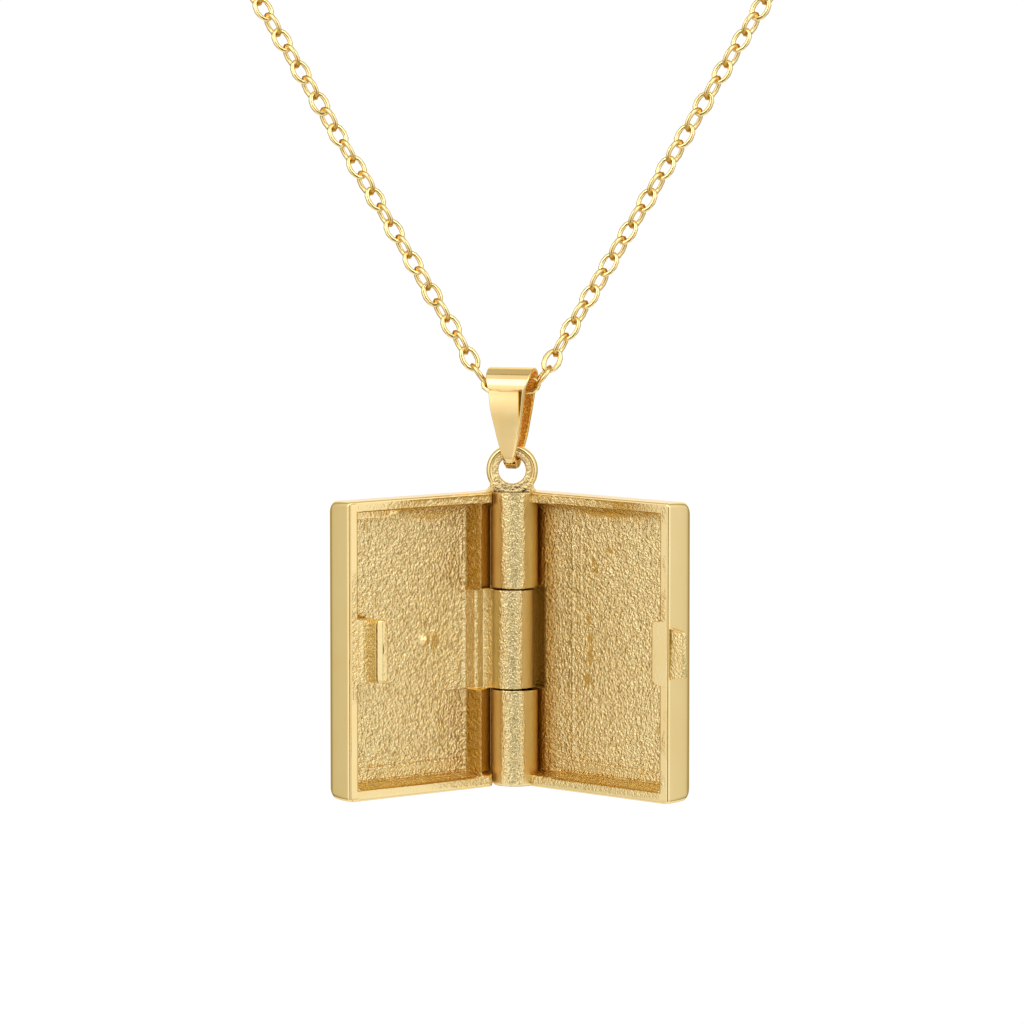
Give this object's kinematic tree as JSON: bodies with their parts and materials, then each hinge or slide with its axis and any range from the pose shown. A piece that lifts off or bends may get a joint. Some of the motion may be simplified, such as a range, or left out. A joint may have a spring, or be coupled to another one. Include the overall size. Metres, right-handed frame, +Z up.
{
  "type": "rectangular hinged locket necklace",
  "caption": "Rectangular book locket necklace: hinged shallow trays with a snap catch hang from an eye and a tapered bail on a fine cable chain.",
  "frame": {"origin": "middle of the clasp, at the nape of the neck", "axes": "+Z up, -Y towards the viewer of the open locket, +X to the right in the picture"},
  "size_m": [0.119, 0.1288, 0.1418],
  "materials": {
    "chain_gold": "polished yellow gold plate on drawn wire",
    "clasp_gold": "polished yellow gold plate",
    "bail_gold": "polished yellow gold plate on rolled sheet",
    "leaf_gold": "yellow gold plate, polished outside and left rough cast inside",
    "pin_gold": "drawn wire, riveted flush"
  },
  "bodies": {
    "chain": {"chain": "chain_gold", "clasp": "clasp_gold"},
    "bail": {"bail": "bail_gold"},
    "leaf_right": {"leaf_right": "leaf_gold", "hinge_pin": "pin_gold"},
    "leaf_left": {"leaf_left": "leaf_gold"}
  },
  "joints": [
    {"name": "bail_swing", "type": "hinge", "parent": "chain", "child": "bail", "pos_m": [0.00005, -0.118, -0.112], "axis": [0.9732, -0.23, 0], "range_deg": [-55, 55]},
    {"name": "locket_swing", "type": "hinge", "parent": "bail", "child": "leaf_right", "pos_m": [0.00005, -0.118, -0.11611], "axis": [1, 0, 0], "range_deg": [-40, 40]},
    {"name": "leaf_hinge", "type": "hinge", "parent": "leaf_right", "child": "leaf_left", "pos_m": [0.00022, -0.118, -0.12885], "axis": [0, 0, 1], "range_deg": [-84.4, 95.6]}
  ]
}
